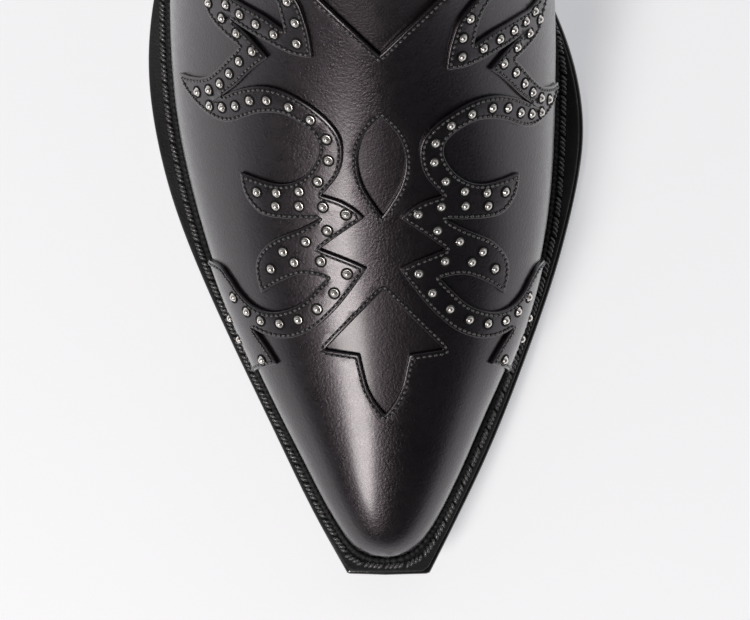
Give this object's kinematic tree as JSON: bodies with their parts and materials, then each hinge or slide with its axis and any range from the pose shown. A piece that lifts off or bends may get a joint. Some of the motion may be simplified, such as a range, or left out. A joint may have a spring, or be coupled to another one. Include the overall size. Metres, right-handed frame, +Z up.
{
  "type": "cowboy boot",
  "caption": "Right western boot: pointed squared-off toe, V-throat vamp with flame overlays and cut-outs, welted sole, stacked heel, scalloped shaft and pull straps.",
  "frame": {"origin": "centre of the boot's footprint box on the ground", "axes": "+Z up, -Y towards the toe, +X towards the medial (inner) side of this right boot"},
  "size_m": [0.1138, 0.3052, 0.3579],
  "materials": {
    "black_calf": "smooth black calf with a fine natural grain and a soft wax shine",
    "cork": "granulated cork",
    "fibreboard": "stiffened fibreboard",
    "insole_leather": "vegetable-tanned insole leather, matte",
    "lining": "undyed lining leather, matte",
    "rubber": "matte black rubber",
    "sole_leather": "dyed and waxed sole leather, glossy at the edge",
    "stack_leather": "stacked heel leather, dyed black and waxed",
    "steel": "plain steel",
    "welt_leather": "black welt leather, matte and lightly creased"
  },
  "bodies": {
    "boot": {"collar_binding": "black_calf", "cork_filler": "cork", "counter_cover": "black_calf", "heel_counter": "fibreboard", "heel_lift_1": "stack_leather", "heel_lift_2": "stack_leather", "heel_lift_3": "stack_leather", "heel_lift_4": "stack_leather", "heel_lift_5": "stack_leather", "heel_lining": "lining", "heel_nail_1": "steel", "heel_nail_2": "steel", "heel_nail_3": "steel", "heel_nail_4": "steel", "heel_rand": "welt_leather", "heel_top_lift": "rubber", "insole": "insole_leather", "lens_inlay": "black_calf", "outsole": "sole_leather", "shaft_back": "black_calf", "shaft_front": "black_calf", "shaft_lining_back": "lining", "shaft_lining_front": "lining", "shank": "steel", "side_piping_lateral": "black_calf", "side_piping_medial": "black_calf", "sock_liner": "lining", "spade_inlay": "black_calf", "strap_inner_tab_lateral": "black_calf", "strap_inner_tab_medial": "black_calf", "strap_outer_tab_lateral": "black_calf", "strap_outer_tab_medial": "black_calf", "toe_box": "fibreboard", "vamp": "black_calf", "vamp_lining": "lining", "welt": "welt_leather", "wing_overlay_lateral": "black_calf", "wing_overlay_medial": "black_calf"},
    "strap_lateral": {"pull_strap_lateral": "black_calf"},
    "strap_medial": {"pull_strap_medial": "black_calf"}
  },
  "joints": [
    {"name": "pull_strap_lateral_bend", "type": "hinge", "parent": "boot", "child": "strap_lateral", "pos_m": [-0.04455, 0.09215, 0.3305], "axis": [0, 1, 0], "range_deg": [-35, 35], "stiffness_Nm_per_rad": 0.03},
    {"name": "pull_strap_medial_bend", "type": "hinge", "parent": "boot", "child": "strap_medial", "pos_m": [0.05025, 0.09215, 0.3305], "axis": [0, 1, 0], "range_deg": [-35, 35], "stiffness_Nm_per_rad": 0.03}
  ]
}
